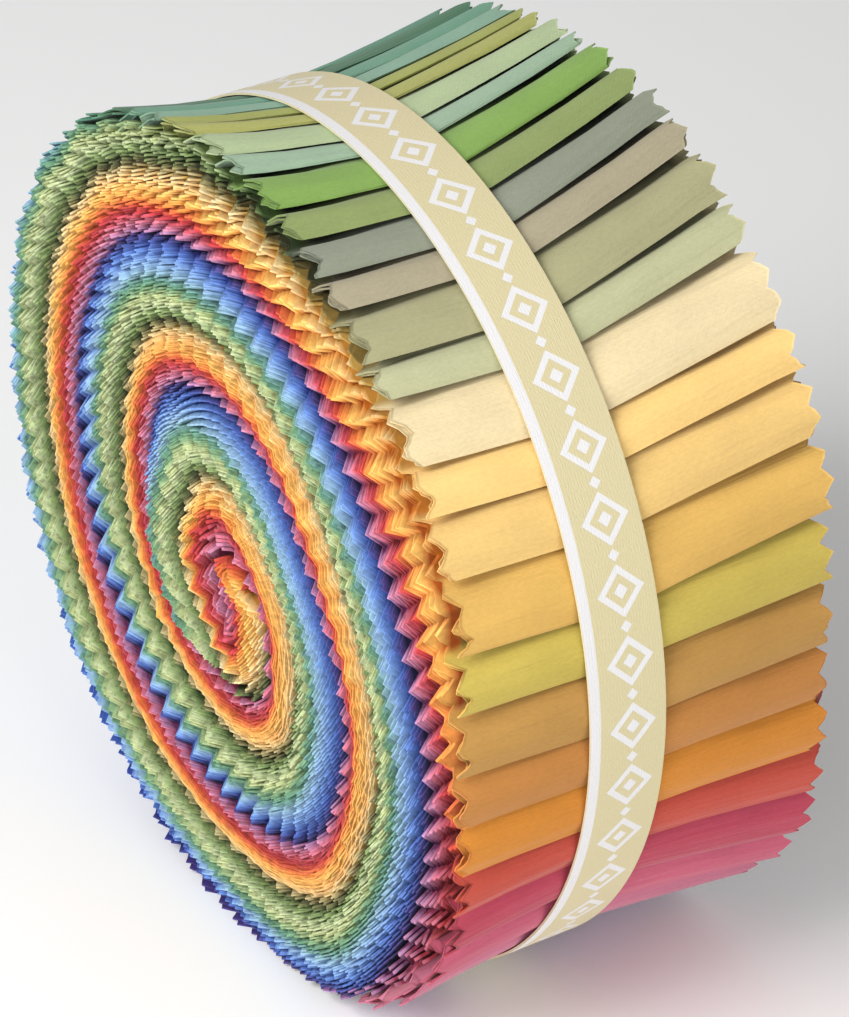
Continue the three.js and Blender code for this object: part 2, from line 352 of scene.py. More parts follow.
def shares(strip, wound, y):
    """Bottom and top of a strip's share of the stack, as parts of the stack's depth. The
    top is the running total of all strips and air up to this one, over the whole total."""
    wound, y = wound[..., None], y[..., None]
    begun = smoothstep((wound - STRIPS["start"]) / START_EASE + 1)
    past = (wound - fold_angle(EVERY, y)) * RADIANS * RIM
    left = (1 - np.clip(past / (RISE * EXPOSED), 0, 1)) ** BANK
    away = from_band(y)
    room = PRESSED + (OPEN - PRESSED) * away
    own = begun * left * (looseness(wound) + (room - 1) * smoothstep(past / FOLD_EASE + 1))
    lift = STRIPS["lift"] * (AIR_AT_BAND + (1 - AIR_AT_BAND) * away)
    air = lift * left * smoothstep(past / AIR_REACH + 1)
    total = np.cumsum(own + air, axis=-1)
    top = total[..., strip]
    return (top - own[..., strip]) / total[..., -1], top / total[..., -1]


low, high = shares(COUNT - 1, np.array(float(TWO_TURNS)), np.array(0.0))
print(f"the outermost strip has {STACK * (high - low):.2f} mm of the stack under the band")

# %% Both edges of the stack
LAST_TURN = (1035, 1062)  # where the outer edge goes over from the spiral to the skin
HAIRPIN_END = 60
HAIRPIN_EASE = 50


def edges(wound):
    """The stack's inner edge and the way across to its outer edge, as x and z on the
    near face. Both are spirals round the heart, eased into the hairpin's own table."""
    inner = spiral(wound)
    last = smoothstep((wound + 360 - LAST_TURN[0]) / (LAST_TURN[1] - LAST_TURN[0]))
    outer = spiral(wound + 360) * (1 - last) + near_skin(wound) * last
    angle = direction(wound) * RADIANS
    ray = np.stack([np.cos(angle), np.sin(angle)], axis=-1)
    knots, *columns = zip(*HEART)
    table = np.stack([through(wound, knots, column) for column in columns], axis=-1)
    ease = smoothstep((wound - HAIRPIN_END) / HAIRPIN_EASE)[..., None]
    inner = table[..., :2] * (1 - ease) + inner[..., None] * ray * ease
    outer = table[..., 2:] * (1 - ease) + outer[..., None] * ray * ease
    return inner, outer - inner


_, across = edges(np.array([0.0, 360.0]))
print("depth of the stack in the heart and a turn on, in mm:", np.linalg.norm(across, axis=-1))

# %% [markdown]
# ## One strip's path
# Seen from the end, a folded strip is a long hairpin. Its inner layer runs out from the
# heart, turns round in the fold, and comes back as the outer layer. A place on that
# path is a wound angle and a `turnover` angle, which is 0 on the inner layer, 180
# degrees on the outer one and in between round the nose of the fold.

# %% Radius along the path
LAYER = 0.285  # least distance between the two layers
NOSE = 2.6  # how far before the fold the turn starts
NOSE_HEIGHT = 1.3  # most distance between the layers at the fold
FOLD_REACH = 9.0  # how far before the fold the layers start to part
DROOP = 0.6  # part of that gap by which the outer layer droops
DROOP_REACH = 3.6
LEAST_REACH = 0.001


def headroom(strip, wound, y):
    """The inner edge, the way across, and where the middles of the strip's two layers may
    lie on it, in millimetres."""
    bottom, top = shares(strip, wound, y)
    inner, across = edges(wound)
    depth = np.linalg.norm(across, axis=-1)
    return inner, across, depth * bottom + CLOTH / 2, depth * top - CLOTH / 2


def place(strip, wound, turnover, y):
    """x and z of a strip's middle surface, from the heart. The outer layer lies at the
    top of the strip's share, and the inner one half a share lower. It drops to the bottom
    of the share as the fold comes near. Just before the fold the outer layer droops by a
    part of the gap, which rounds the fold. The waist's change in the skin moves a layer
    by the cube of its distance from the heart."""
    inner, across, bottom, top = headroom(strip, wound, y)
    depth = np.linalg.norm(across, axis=-1)
    to_fold = (fold_angle(strip, y) - wound) * RADIANS * RIM
    loop = smoothstep(1 - to_fold / FOLD_REACH)
    snug = np.maximum((top - bottom + CLOTH) / 2, LAYER)
    gap = snug + (np.clip(top - bottom, LAYER, NOSE_HEIGHT) - snug) * loop
    droop = DROOP * gap * smoothstep(1 - to_fold / DROOP_REACH)
    level = (1 - np.cos(turnover)) / 2
    share = (top - gap + (gap - droop) * level) / depth
    face = inner + across * share[..., None]
    reach = np.maximum(np.linalg.norm(face, axis=-1), LEAST_REACH)
    skin = near_skin(wound)
    shift = (outline(direction(wound), y) - skin) * (reach / skin) ** 3
    return face * (1 + shift / reach)[..., None]


# %% The hairpin in close steps
PATH_STEP = 0.5
NOSE_STEPS = 25


def dense_path(strip):
    """The hairpin as wound and turnover angles: out along the inner layer in equal steps,
    round the nose on a quarter sine wave out and back, and in along the outer layer."""
    fold = FOLD_AT[strip]
    nose = NOSE / RIM / RADIANS
    layer = np.arange(STRIPS["start"][strip], fold - nose, PATH_STEP)
    turn = np.linspace(0, math.pi, NOSE_STEPS)
    wound = np.concatenate([layer, fold - nose * (1 - np.sin(turn)), layer[::-1]])
    turnover = np.concatenate([np.zeros(len(layer)), turn, np.full(len(layer), math.pi)])
    return wound, turnover


print(f"the outermost strip's path has {len(dense_path(COUNT - 1)[0])} steps")

# %% [markdown]
# ## Pinked edges
# Both long edges of a strip are pinked, cut in an even zigzag, so the teeth have one
# pitch all along the path. The stack was cut with its teeth in line. Once it is wound,
# the outer strips run further round than the inner ones, so the teeth agree at one angle
# and drift apart on both sides of it. That drift draws the slanting ridges on the faces.
# In the middle turns the strips from pink to cream are matted, so their teeth keep about
# half their depth. The edges of some strips stand back a little from the rest.

# %% Tables of the teeth
PITCH = 4.6
TOOTH = 1.9
TEETH = [  # first strip of a group, and its marks: a wound angle and how far teeth stray
    (0, [(49, 0.25), (160, 0.5), (260, 0.4), (420, 0.3), (600, 0.3), (955, 0.03)]),
    (6, [(49, 0.05), (160, 0.3), (260, 0.2), (340, 0.1), (420, 0.1), (510, 0.1), (600, 0.1),
         (700, 0.15), (955, 0.03)]),
    (13, [(130, 0.04), (260, 0.2), (400, 0.15), (500, 0.15), (600, 0.2), (955, 0.06)]),
    (18, [(150, 0.1), (400, 0.15), (560, 0.25), (680, 0.3), (800, 0.3)]),
    (29, [(400, 0.0), (560, 0.1), (690, 0.4), (800, 0.3)]),
]
SUNK = [  # strip, and how far its edges stand back in the roll, in millimetres
    (0, 0.4), (2, 0.0), (12, 0.0), (14.5, 0.6), (16, 0.7), (18, 0.1), (34, 0.0), (37, 0.5),
    (39, 0.8),
]
MATTED_STRIPS = strips_from("pink", "cream")
MATTED = [  # wound angle, and how much of a tooth's depth the matted strips keep
    (100, 1.0), (170, 0.55), (820, 0.55), (880, 1.0),
]
STRAY_SEED = 40
MOST_MARKS = 10
STRAY = np.random.default_rng(STRAY_SEED).uniform(-1, 1, (COUNT, 2, MOST_MARKS))

# %% Counting teeth
TAKE_UP = 9.0  # millimetres of each layer that take up the odd part of a tooth


def tooth_count(strip, side, wound, length):
    """Teeth counted along one layer: its length over the pitch, nudged so that at each
    of its group's marks the count is whole, give or take that mark's stray. A layer that
    ends before a mark is counted on as if it ran round the rim."""
    marks = [rows for first, rows in TEETH if strip >= first][-1]
    marks = [(at, stray) for at, stray in marks if wound[0] < at]
    at = np.array([mark[0] for mark in marks], float)
    stray = np.array([mark[1] for mark in marks]) * STRAY[strip, side, :len(marks)]
    beyond = np.maximum(at - wound[-1], 0) * RADIANS * RIM
    natural = (np.interp(at, wound, length) + beyond) / PITCH
    nudge = np.round(natural) - natural + stray
    return length / PITCH + np.interp(wound, at, nudge)


def whole_count(strip, wound, turnover, length):
    """Teeth counted along the whole path: whole numbers are tips and halves are valleys.
    Each layer counts its own from its cut end. The odd part of a tooth is shared between
    the two layers, close to the fold."""
    inner, outer = turnover == 0, turnover == math.pi
    first = tooth_count(strip, 0, wound[inner], length[inner])
    back = length[-1] - length[outer][::-1]
    second = tooth_count(strip, 1, wound[outer][::-1], back)[::-1]
    loop = (length[outer][0] - length[inner][-1]) / PITCH
    whole = round(first[-1] + loop + second[0])
    slip = whole - (first[-1] + loop + second[0])
    reach = TAKE_UP / PITCH
    teeth = np.empty_like(length)
    teeth[inner] = first + slip / 2 * smoothstep((first - first[-1]) / reach + 1)
    teeth[outer] = whole - second - slip / 2 * smoothstep((second - second[0]) / reach + 1)
    round_fold = (turnover > 0) & (turnover < math.pi)
    ends = [length[inner][-1], length[outer][0]], [teeth[inner][-1], teeth[outer][0]]
    teeth[round_fold] = np.interp(length[round_fold], *ends)
    return np.maximum.accumulate(teeth)


# %% Rows of the grid
COARSE, FINE, FINEST = 2, 4, 8  # rows to a tooth
HEART_REACH = 13.0  # fine this near to the heart
FINE_REACH = 22.0  # and to the fold
FINEST_REACH = 4.2


def stations(strip):
    """Wound angle, turnover, tooth phase and length along the cloth of each cross row.
    The rows lie closer in the heart and near the fold, and closest round the fold."""
    wound, turnover = dense_path(strip)
    spot = place(strip, wound, turnover, np.full_like(wound, -HALF))
    steps = np.linalg.norm(np.diff(spot, axis=0), axis=-1)
    length = np.concatenate([[0], np.cumsum(steps)])
    teeth = whole_count(strip, wound, turnover, length)
    phase = np.arange(math.ceil(teeth[0] * FINEST), math.floor(teeth[-1] * FINEST) + 1)
    at = np.interp(phase / FINEST, teeth, length)
    from_heart = np.interp(at, length, np.linalg.norm(spot, axis=-1))
    fold = (length[turnover == 0][-1] + length[turnover == math.pi][0]) / 2
    from_fold = np.abs(at - fold)
    close = (from_heart < HEART_REACH) | (from_fold < FINE_REACH)
    keep = phase % (FINEST // COARSE) == 0
    keep |= (phase % (FINEST // FINE) == 0) & close
    keep |= from_fold < FINEST_REACH
    at, phase = at[keep], phase[keep] / FINEST
    return np.interp(at, length, wound), np.interp(at, length, turnover), phase, at


def zigzag(phase):
    """Height of the pinked edge: 1 at whole numbers, 0 half way between."""
    return np.abs(2 * (phase - np.floor(phase)) - 1)


print(f"the outermost strip has {len(stations(COUNT - 1)[0])} rows")

# %% [markdown]
# ## From path to cloth
# The cloth is a grid: one row for each station on the path and a few columns across the
# width. Its normals push it out to both sides by half the cloth's thickness, and the
# two skins are closed along the pinked edges and the cut ends. Inside the roll the frayed
# edges swell until they almost touch, which closes the faces of the roll.

# %% Columns and quads of a grid
EDGE_BAND = 5.0
INNER_COLUMNS = [-22.0, BAND_NEAR, -5.8, BAND_FAR, 10.0, 20.0]
ACROSS = np.array([-HALF, -HALF + EDGE_BAND, *INNER_COLUMNS, HALF - EDGE_BAND, HALF])


def grid_quads(rows, columns, first=0, flip=False):
    """Corner numbers of the quads of a grid whose points are numbered row by row."""
    here = first + np.arange(rows * columns).reshape(rows, columns)
    quads = np.stack([here[:-1, :-1], here[1:, :-1], here[1:, 1:], here[:-1, 1:]], axis=-1)
    quads = quads.reshape(-1, 4)
    return quads[:, ::-1] if flip else quads


def closing_quads(rows, columns):
    """The four strips of quads that join the rims of two equal grids."""
    top = np.arange(rows * columns).reshape(rows, columns)
    loop = np.concatenate([top[:, 0], top[-1, 1:], top[-2::-1, -1], top[0, -2:0:-1]])
    after = np.roll(loop, -1)
    under = rows * columns
    return np.stack([loop, loop + under, after + under, after], axis=-1)


print(f"{len(ACROSS)} columns across, and a grid of 3 by 4 points has {len(grid_quads(3, 4))} quads")

# %% A mesh from arrays
SHARP = 84


def sharpen_cut_edges(mesh, rim):
    """Every edge that joins two rim points of one skin is drawn sharp, whatever its angle.
    Rim is true or false for each point of a skin."""
    ends = np.empty(2 * len(mesh.edges), np.int32)
    mesh.edges.foreach_get("vertices", ends)
    skin, spot = np.divmod(ends.reshape(-1, 2), len(rim))
    sharp = np.empty(len(mesh.edges), bool)
    mesh.edges.foreach_get("use_edge_sharp", sharp)
    sharp |= rim[spot].all(axis=1) & (skin[:, 0] == skin[:, 1])
    mesh.edges.foreach_set("use_edge_sharp", sharp)


def new_mesh(name, points, quads, uv, marks):
    """A mesh from whole arrays, with a UV map in metres of flat cloth and named marks,
    one number from 0 to 1 for each point, which the finishes read."""
    mesh = bpy.data.meshes.new(name)
    mesh.vertices.add(len(points))
    mesh.vertices.foreach_set("co", (points * MM).astype(np.float32).ravel())
    mesh.loops.add(quads.size)
    mesh.loops.foreach_set("vertex_index", quads.astype(np.int32).ravel())
    mesh.polygons.add(len(quads))
    mesh.polygons.foreach_set("loop_start", np.arange(0, quads.size, 4, dtype=np.int32))
    mesh.update(calc_edges=True)
    layer = mesh.uv_layers.new(name="Cloth")
    layer.data.foreach_set("uv", (uv[quads.ravel()] * MM).astype(np.float32).ravel())
    for mark, values in marks.items():
        attribute = mesh.attributes.new(mark, "FLOAT", "POINT")
        attribute.data.foreach_set("value", values.astype(np.float32))
    mesh.polygons.foreach_set("use_smooth", np.ones(len(quads), bool))
    mesh.set_sharp_from_angle(angle=math.radians(SHARP))
    mesh.validate()
    piece = bpy.data.objects.new(name, mesh)
    bpy.context.scene.collection.objects.link(piece)
    return piece


print(f"corners sharper than {SHARP} degrees are drawn sharp")

# %% Cloth with two skins
LEAST_RUN = 1e-6


def solid_sheet(name, points, along, thickness, buried):
    """Cloth with two skins from its middle surface. A row's normal is its run along the
    cloth turned by a quarter in the x-z plane, and each skin lies half a thickness off
    along it. The mark `edge` is 1 on both cut edges, and `buried` is 1 where the cloth
    lies under a neighbour."""
    rows, columns = points.shape[:2]
    run_x, run_z = np.gradient(points[..., 0], axis=0), np.gradient(points[..., 2], axis=0)
    size = np.maximum(np.hypot(run_x, run_z), LEAST_RUN)
    normal = np.stack([run_z / size, np.zeros_like(size), -run_x / size], axis=-1)
    offset = normal * np.broadcast_to(thickness, (rows, columns))[..., None] / 2
    skins = np.concatenate([points + offset, points - offset])
    quads = np.concatenate([
        grid_quads(rows, columns),
        grid_quads(rows, columns, first=rows * columns, flip=True),
        closing_quads(rows, columns)[:, ::-1],
    ])
    flat = np.stack([np.broadcast_to(along[:, None], (rows, columns)), points[..., 1]], -1)
    uv = np.tile(flat.reshape(-1, 2), (2, 1))
    edge = np.zeros((rows, columns))
    edge[:, [0, -1]] = 1
    marks = {"edge": edge, "buried": np.broadcast_to(buried, edge.shape)}
    marks = {mark: np.tile(values.ravel(), 2) for mark, values in marks.items()}
    piece = new_mesh(name, skins.reshape(-1, 3), quads, uv, marks)
    rim = edge == 1
    rim[[0, -1]] = True
    sharpen_cut_edges(piece.data, rim.ravel())
    return piece


print(f"the cloth is {CLOTH} mm thick, half of it on each side of the middle surface")

# %% [markdown]
# ## Ragged, slipped and slanted
# Real strips are never quite alike. Their teeth are cut and frayed unevenly, they have
# slipped a little sideways, and over their last stretch they lie askew, so that the fold
# slants across the skin. Each of these is added to the even grid as a small change of y
# or of the wound angle. The random ones start from the strip's own number, so the roll
# comes out the same each time.

# %% Frayed edges
WANDER = 0.22  # most sway, in millimetres
WAVES = (6.0, 11.0, 23.0)  # lengths of its waves
FILL = 0.92
MOST_FLUFF = 0.5
FLUFF_FREE = 3  # degrees beside the fold that stay thin
FLUFF_EASE = 9  # and over which the edge swells


def wander(rng, along):
    """A slow random sway along the cloth: the mean of a few sine waves."""
    phases = rng.uniform(0, 2 * math.pi, len(WAVES))
    waves = [
        np.sin(2 * math.pi * along / length + phase)
        for length, phase in zip(WAVES, phases)
    ]
    return WANDER * np.mean(waves, axis=0)


def fluffed(strip, wound, buried):
    """Thickness of the cloth on its grid. Inside the roll a frayed edge swells until it
    fills most of the room between its neighbours: FILL times half the strip's share. It
    stays thin beside the fold."""
    thickness = np.full(wound.shape, CLOTH)
    for column, side in ((0, -1), (-1, 1)):
        at = wound[:, column]
        _, _, bottom, top = headroom(strip, at, np.full_like(at, side * HALF))
        swollen = np.clip(FILL * (top - bottom + CLOTH) / 2, CLOTH, MOST_FLUFF)
        inside = smoothstep((fold_angle(strip, side * HALF) - at - FLUFF_FREE) / FLUFF_EASE)
        thickness[:, column] += (swollen - CLOTH) * buried[:, column] * inside
    return thickness


print(f"a frayed edge swells from {CLOTH} to at most {MOST_FLUFF} mm")

# %% A strip on its grid
FLUSH = 0.15  # part of a strip's slide that is left deep in the roll
FLUSH_FREE = 12  # degrees before the fold that keep the whole slide
FLUSH_EASE = 35  # and over which it eases
RAGGED = 0.16  # spread of the teeth's depth, in millimetres
# The buried mark, and with it the painted shade of buried cloth, begins a little past the
# neighbour's fold.
COVER = 0.7  # degrees past the neighbour's fold at which the cloth is quite bare
COVER_EASE = 2.2
LAST_STRETCH = 30.0  # degrees before the fold that lie askew
LAST_BARE = 20  # degrees of the outermost strip that are bare
FIRST_SEED = 100


def crept(strip, wound, y):
    """Wound angle of every point of the grid. Over its last stretch a strip follows the
    slant of its own fold: its rows' angle less the fold's creep, which eases in."""
    creep = FOLD_AT[strip] - fold_angle(strip, y)
    to_fold = FOLD_AT[strip] - wound[:, None]
    return wound[:, None] - creep * smoothstep(1 - to_fold / LAST_STRETCH)


def strip_points(strip):
    """Middle surface of a strip on its grid, how far each row lies along the flat cloth,
    how thick the cloth is, and which points are buried in the roll. The pinked edge pulls
    the outer columns in by a tooth at each valley, and every tooth is a little ragged. The
    strip's slide is whole near its fold and eases to a small part of it deeper in."""
    wound, turnover, phase, along = stations(strip)
    rng = np.random.default_rng(FIRST_SEED + strip)
    y = np.tile(ACROSS, (len(phase), 1))
    matted = through(wound, *zip(*MATTED)) if MATTED_STRIPS[strip] else 1.0
    notch = 0.5 + matted * (0.5 - zigzag(phase))
    for column, side in ((0, 1), (-1, -1)):
        ragged = rng.normal(0, RAGGED, len(phase)) + wander(rng, along)
        y[:, column] += side * (TOOTH * notch + ragged)
    above = min(strip + 1, COUNT - 1)
    bared = fold_angle(above, y) - LAST_BARE * (above == strip)
    buried = smoothstep((bared + COVER - crept(strip, wound, y)) / COVER_EASE)
    slid = 1 - (1 - FLUSH) * smoothstep((FOLD_AT[strip] - wound - FLUSH_FREE) / FLUSH_EASE)
    y += STRIPS["slide"][strip] * slid[:, None]
    y += through(strip, *zip(*SUNK)) * buried
    wound = crept(strip, wound, y)
    turnover = np.broadcast_to(turnover[:, None], y.shape)
    spot = place(strip, wound, turnover, y)
    points = np.stack([spot[..., 0], y, HEART_HEIGHT + spot[..., 1]], axis=-1)
    return points, along, fluffed(strip, wound, buried), buried


print(f"a strip that has slipped keeps {100 * FLUSH:.0f} per cent of its slide deep in the roll")

# %% Build the forty strips
def build_strip(strip):
    """One strip as a mesh, and the length of its cloth in millimetres."""
    points, along, thickness, buried = strip_points(strip)
    name = f"strip_{strip + 1:02d}_{STRIP_ROWS[strip][0]}"
    return solid_sheet(name, points, along, thickness, buried), along[-1]


strips, lengths = [], []
for strip in range(COUNT):
    piece, length = build_strip(strip)
    strips.append(piece)
    lengths.append(length)
triangles = sum(2 * len(piece.data.polygons) for piece in strips)
print(f"strips: {triangles} triangles, cloth {min(lengths):.0f} to {max(lengths):.0f} mm long")

# %% [markdown]
# ## Shader helpers
# Shader maths is easier to read as sums and products. The small class below wraps a
# node's output, so an expression on wrapped values adds the Math nodes it needs.

# %% A socket that can be added and multiplied
def feed(tree, slot, value):
    """Links a wrapped value to a socket, or sets a plain number or colour on it."""
    if isinstance(value, Value):
        tree.links.new(value.socket, slot)
    else:
        slot.default_value = value


class Value:
    """One output of a node tree, which sums, differences and products take as a number."""

    def __init__(self, tree, socket):
        self.tree, self.socket = tree, socket

    def math(self, operation, *others):
        """Adds a Math node on this value and the others."""
        node = self.tree.nodes.new("ShaderNodeMath")
        node.operation = operation
        for slot, value in zip(node.inputs, (self, *others)):
            feed(self.tree, slot, value)
        return Value(self.tree, node.outputs[0])

    def __add__(self, other):
        return self.math("ADD", other)

    __radd__ = __add__

    def __mul__(self, other):
        return self.math("MULTIPLY", other)

    __rmul__ = __mul__

    def __sub__(self, other):
        return self.math("SUBTRACT", other)

    def __rsub__(self, other):
        return (self * -1.0) + other

    def between(self, low, high):
        """This value held between two numbers."""
        return self.math("MAXIMUM", low).math("MINIMUM", high)


# %% A material that adds its own nodes
class Material:
    """A material and its Principled shader, with a method for each kind of node."""

    def __init__(self, name):
        self.data = bpy.data.materials.new(name)
        self.data.use_nodes = True
        self.tree = self.data.node_tree
        self.shader = self.tree.nodes["Principled BSDF"]

    def node(self, kind, settings=None, **sockets):
        """Adds a node: its settings first, then a value or a link for each socket, which
        is named, or numbered after an underscore."""
        node = self.tree.nodes.new(kind)
        for key, value in (settings or {}).items():
            setattr(node, key, value)
        for key, value in sockets.items():
            slot = node.inputs[int(key[1:])] if key[1:].isdigit() else node.inputs[key]
            feed(self.tree, slot, value)
        return node

    def value(self, kind, settings=None, output=0, **sockets):
        """Adds a node and wraps one of its outputs, which has a name or a number."""
        return Value(self.tree, self.node(kind, settings, **sockets).outputs[output])

    def parts(self, vector):
        """x, y and z of a vector."""
        node = self.node("ShaderNodeSeparateXYZ", _0=vector)
        return [Value(self.tree, socket) for socket in node.outputs]

    def mix(self, factor, first, second):
        """A colour that goes from the first to the second as the factor goes from 0 to 1."""
        return self.value("ShaderNodeMix", {"data_type": "RGBA"}, output=2, _0=factor,
                          _6=first, _7=second)

    def tint(self, colour, shade):
        """A colour made lighter or darker by a factor that varies over the surface."""
        colour = colour if isinstance(colour, Value) else colour[:3]
        return self.value("ShaderNodeVectorMath", {"operation": "SCALE"}, _0=colour,
                          Scale=shade)

    def finish(self, **sockets):
        """Feeds the shader's sockets, named with underscores for spaces."""
        for key, value in sockets.items():
            feed(self.tree, self.shader.inputs[key.replace("_", " ")], value)
        return self.data


# %% Colours
def linear(red, green, blue):
    """A screen colour from 0 to 255 as the linear colour that the shader mixes, by the
    usual curve for screens: a straight foot, then a power of 2.4. The 1 is its alpha."""
    def channel(value):
        value /= 255
        return value / 12.92 if value <= 0.04045 else ((value + 0.055) / 1.055) ** 2.4
    return (channel(red), channel(green), channel(blue), 1.0)


print(f"half grey on a screen is {linear(128, 128, 128)[0]:.3f} in linear light")

# %% [markdown]
# ## Cotton
# Quilting cotton is a plain weave of about sixty threads to the inch, matt, with soft
# creases beside each fold. Its pinked edges fray a little. On the faces the frayed ends of
# neighbouring strips tangle, so there the colours run into each other. A short table
# gives the run of colours across the stack. The tips of the teeth are painted pale, a
# painted highlight, and the valleys between them are painted deep in colour and darker, a
# painted shade. Dark specks on the frayed ends are partly frayed threads and partly
# painted shade between the teeth. Loose fibres catch the light from the front whichever
# way the sheet lies, so their normals lean out towards the face of the roll. Cloth under
# a neighbour is painted darker, a painted shade for the little light that gets in
# between the sheets.

# %% Edge colours
FACE_COLOURS = [  # strip, counted from the inside, and its colour where it is frayed
    (0, 186, 128, 172), (1.5, 208, 118, 146), (3, 196, 68, 82), (4.4, 186, 46, 44),
    (5.6, 202, 78, 42), (6.8, 218, 118, 48), (8.2, 230, 158, 68), (10, 238, 184, 94),
    (11.8, 240, 203, 134), (13.2, 234, 214, 160), (14.4, 186, 172, 118), (15.8, 134, 134, 82),
    (17.5, 128, 150, 86), (20.5, 174, 188, 136), (23, 166, 180, 120), (25.2, 108, 146, 104),
    (27.3, 84, 132, 112), (29.3, 122, 162, 180), (32, 120, 158, 208), (34.5, 92, 130, 202),
    (37, 70, 94, 178), (39, 78, 62, 138),
]
colours = np.stack([STRIPS["red"], STRIPS["green"], STRIPS["blue"]], axis=1)
places, *channels = zip(*FACE_COLOURS)
edge_colours = np.stack([through(EVERY, places, channel) for channel in channels], -1)
print(f"{COUNT} colours on the skin, and {len(FACE_COLOURS)} that run across the face")

# %% Places and marks that the finishes read
def cloth_place(material):
    """Place on the flat cloth in millimetres: along the strip and across it."""
    flat = material.value("ShaderNodeUVMap", {"uv_map": "Cloth"})
    along, across, _ = material.parts(flat)
    return along * (1 / MM), across * (1 / MM)


def mark(material, name):
    """One of the numbers from 0 to 1 that the mesh carries for each point, which is the
    Attribute node's third output."""
    return material.value("ShaderNodeAttribute", {"attribute_name": name}, output=2)


def noise(material, along, across, grain, detail=2.0):
    """Noise from 0 to 1. Grain is how many of its spots fit into one unit each way."""
    spot = material.value("ShaderNodeCombineXYZ", _0=along * grain[0], _1=across * grain[1])
    return material.value("ShaderNodeTexNoise", {"noise_dimensions": "2D"}, _0=spot,
                          Scale=1.0, Detail=detail)


# %% Places on the face of the roll
FACING = 2.0
TIP_POWER = 0.7


def round_heart(material, where):
    """Angle round the heart in radians, and distance from it in metres. Noise on the two
    draws streaks that point away from the heart."""
    x, _, z = material.parts(where)
    z = z - HEART_HEIGHT * MM
    return z.math("ARCTAN2", x), (x * x + z * z).math("SQRT")


def facing(material, where, bump, weight):
    """The bump's normal turned towards the nearer face: normal + weight * (0, side, 0),
    made one long again. Side is -1 on the near half of the roll and 1 on the far half."""
    side = material.parts(where)[1].math("SIGN")
    toward = material.value("ShaderNodeCombineXYZ", _1=side * weight)
    both = material.value("ShaderNodeVectorMath", {"operation": "ADD"}, _0=bump, _1=toward)
    return material.value("ShaderNodeVectorMath", {"operation": "NORMALIZE"}, _0=both)


def tip_height(material, where):
    """0 at the bottom of a tooth's valley and 1 at its tip, on both faces of the roll: the
    part of a tooth's depth, to a power under 1, so that the painted shade of the valleys
    falls only on the bottoms."""
    _, y, _ = material.parts(where)
    out = y.math("ABSOLUTE") * (1 / MM) - (HALF - TOOTH)
    return (out * (1 / TOOTH)).between(0.0, 1.0).math("POWER", TIP_POWER)


print(f"a tooth is {TOOTH} mm deep, and fibres lean out by {FACING} to 1 towards the face")

# %% The frayed fringe
SPOT_SCALE, FIBRE_SCALE = 1300.0, 2600.0  # spots to the metre
STREAK_GRAIN = (34.0, 0.3 / MM)  # streaks to the radian, and spots to the metre outwards
# Dark specks on the fringe: partly frayed threads, partly painted shade between the teeth.
FRAY_SHADE_RAMP = (0.54, 9.0)  # where a ramp starts to rise, and how steeply
GLINTS = {"fibre": 0.35, "streak": 0.8, "least": 0.46}
# Painted highlight and painted shade: tips pale and lighter, valleys deep and darker.
TIP_SHADE = {"rise": 0.47, "valley": 0.58}
CREST_HIGHLIGHT_POWER, VALLEY_SHADE_POWER = 0.85, 2.5


def rising(value, ramp):
    """A straight ramp: the value less the ramp's start, times its slope."""
    start, slope = ramp
    return (value - start) * slope


def fringe(material, where, edge_colour, fray_shade):
    """Colour of the frayed edges: from a deep valley colour, painted shade in the hollows
    between the teeth, to a pale crest colour, a painted highlight on the tips, times fibres
    and streaks, less dark spots that are partly frayed threads and partly painted shade.
    The tip shade darkens the valleys further, also painted shade. Deep and pale are powers
    of the edge colour."""
    spots = material.value("ShaderNodeTexNoise", _0=where, Scale=SPOT_SCALE, Detail=2.0)
    fibres = material.value("ShaderNodeTexNoise", _0=where, Scale=FIBRE_SCALE, Detail=1.0)
    streaks = noise(material, *round_heart(material, where), STREAK_GRAIN, detail=1.0)
    tip = tip_height(material, where)
    # Dark spots, partly frayed threads and partly painted shade between the teeth.
    fray_shade_spots = rising(spots, FRAY_SHADE_RAMP).between(0.0, 1.0) * fray_shade
    glint = fibres * GLINTS["fibre"] + streaks * GLINTS["streak"] + GLINTS["least"]
    # The tip term is painted shade: it darkens the valleys between the teeth.
    lit = glint * (1.0 - fray_shade_spots) * (tip * TIP_SHADE["rise"] + TIP_SHADE["valley"])
    # Painted highlight on the crests, painted shade in the valleys.
    crest, valley = (
        linear(*(255 * (np.array(edge_colour) / 255) ** power))
        for power in (CREST_HIGHLIGHT_POWER, VALLEY_SHADE_POWER)
    )
    return material.tint(material.mix(tip, valley, crest), lit)


print(f"{STREAK_GRAIN[0] * 2 * math.pi:.0f} streaks go round the face")

# %% Cotton
THREAD = 0.42
THREAD_GRAIN = (2.4, 1.1)  # spots to the millimetre, along the cloth and across it
CLOUD_GRAIN = (0.12, 0.08)
CREASE_GRAIN = (0.45, 0.035)
SHADES = {"thread": 0.16, "cloud": 0.2, "least": 0.77}
HEIGHTS = {"weave": 0.007, "crease": 0.4}
FRAYED, DEEP = (0.9, 10.0), (0.2, 3.0)  # ramps of the mask on bare and on buried cloth
BARE_FRAY = 0.4
# Painted shade: the part of its light that buried cloth loses, for the shade between the sheets.
PAINTED_UNDER_SHADE = [(0, 0.75), (12, 0.8), (15, 0.92), (39, 0.92)]  # strip, and light lost when buried


